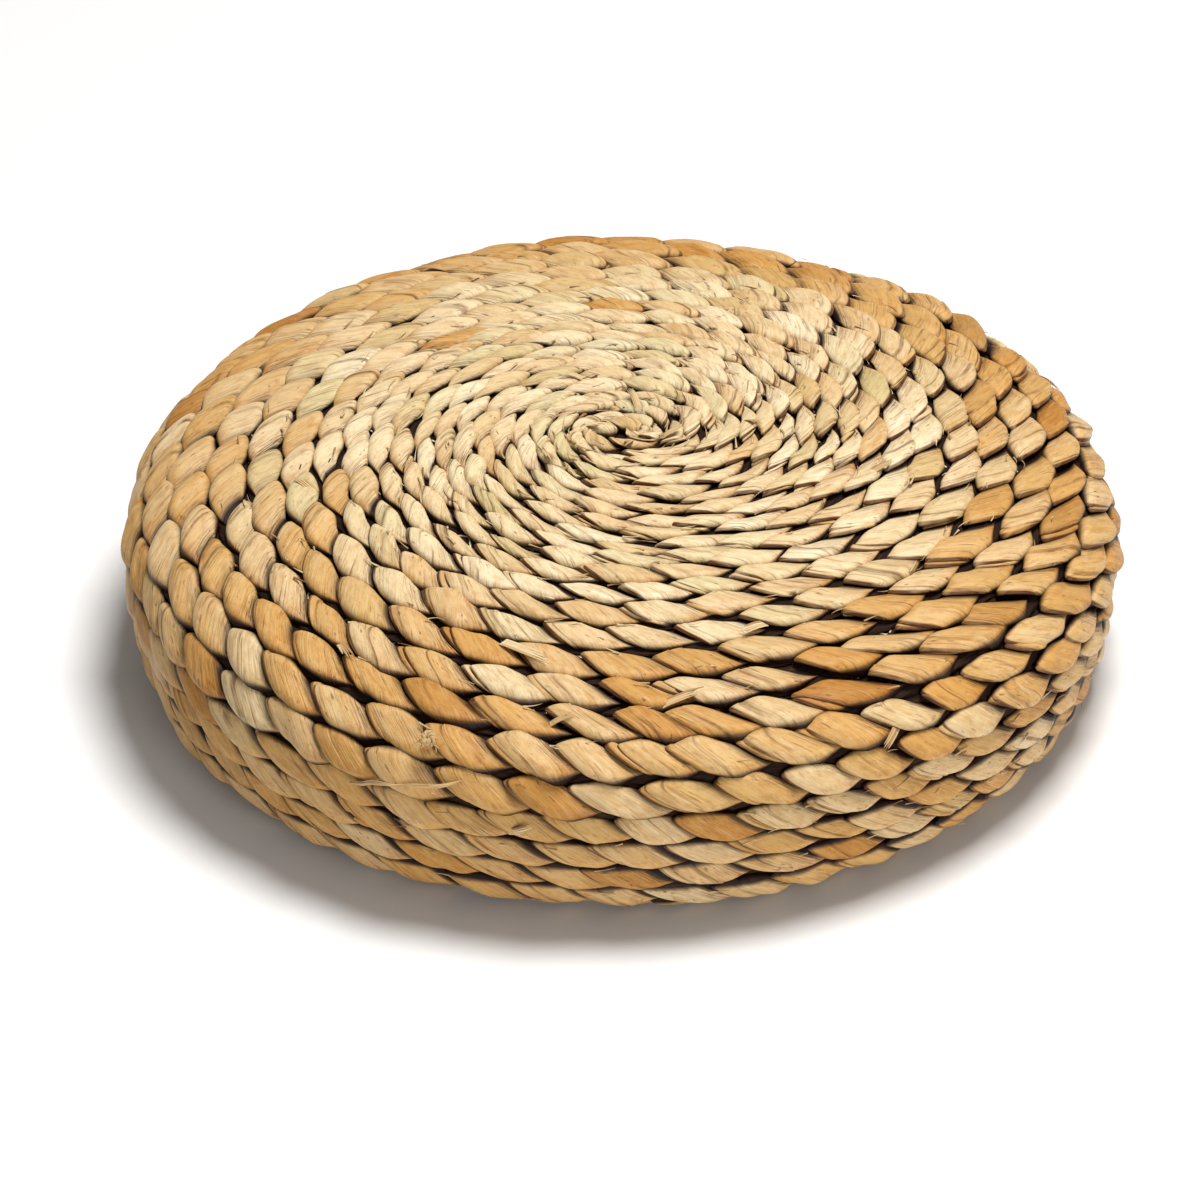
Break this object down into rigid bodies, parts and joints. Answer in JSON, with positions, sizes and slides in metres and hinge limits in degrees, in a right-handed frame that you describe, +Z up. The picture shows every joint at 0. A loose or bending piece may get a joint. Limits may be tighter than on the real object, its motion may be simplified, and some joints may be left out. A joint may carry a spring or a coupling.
{
  "type": "seat cushion",
  "caption": "Round floor or chair cushion coiled from a sewn leaf braid over a lined foam core, with a domed top, rounded shoulder, upright wall and flat base.",
  "frame": {"origin": "centre of the underside, on the surface it rests on", "axes": "+Z up along the coil's axis, -Y towards the front, +X to the right"},
  "size_m": [0.3999, 0.4, 0.105],
  "materials": {
    "straw_top": "satin dry leaf, pale straw",
    "straw_wall": "satin dry leaf, tan straw",
    "straw_base": "matte dry leaf, tan straw",
    "sewing_thread": "twisted thread",
    "closing_cord": "twisted cord",
    "grass_tie": "dry grass",
    "lining": "matte non-woven cloth",
    "crown_foam": "matte open-cell foam",
    "foam": "matte closed-cell foam"
  },
  "bodies": {
    "root": {"coil_start": "straw_top", "top_turn_01": "straw_top", "top_turn_02": "straw_top", "top_turn_03": "straw_top", "top_turn_04": "straw_top", "top_turn_05": "straw_top", "top_turn_06": "straw_top", "top_turn_07": "straw_top", "top_turn_08": "straw_top", "top_turn_09": "straw_top", "top_turn_10": "straw_top", "top_turn_11": "straw_top", "top_turn_12": "straw_top", "top_turn_13": "straw_top", "top_turn_14": "straw_top", "top_turn_15": "straw_top", "top_turn_16": "straw_top", "shoulder_turn_01": "straw_wall", "shoulder_turn_02": "straw_wall", "shoulder_turn_03": "straw_wall", "wall_turn_01": "straw_wall", "wall_turn_02": "straw_wall", "wall_turn_03": "straw_wall", "heel_turn_01": "straw_wall", "heel_turn_02": "straw_wall", "heel_turn_03": "straw_wall", "base_turn_01": "straw_base", "base_turn_02": "straw_base", "base_turn_03": "straw_base", "base_turn_04": "straw_base", "base_turn_05": "straw_base", "base_turn_06": "straw_base", "base_turn_07": "straw_base", "base_turn_08": "straw_base", "base_turn_09": "straw_base", "base_turn_10": "straw_base", "base_turn_11": "straw_base", "base_turn_12": "straw_base", "base_turn_13": "straw_base", "base_turn_14": "straw_base", "base_start": "straw_base", "top_thread": "sewing_thread", "side_thread": "sewing_thread", "base_thread": "sewing_thread", "closing_cord": "closing_cord", "grass_knot": "grass_tie", "loose_strand": "grass_tie", "lining_top": "lining", "lining_side": "lining", "lining_base": "lining", "crown_pad": "crown_foam", "foam_disc_upper": "foam", "foam_disc_middle": "foam", "foam_disc_lower": "foam"}
  },
  "joints": []
}
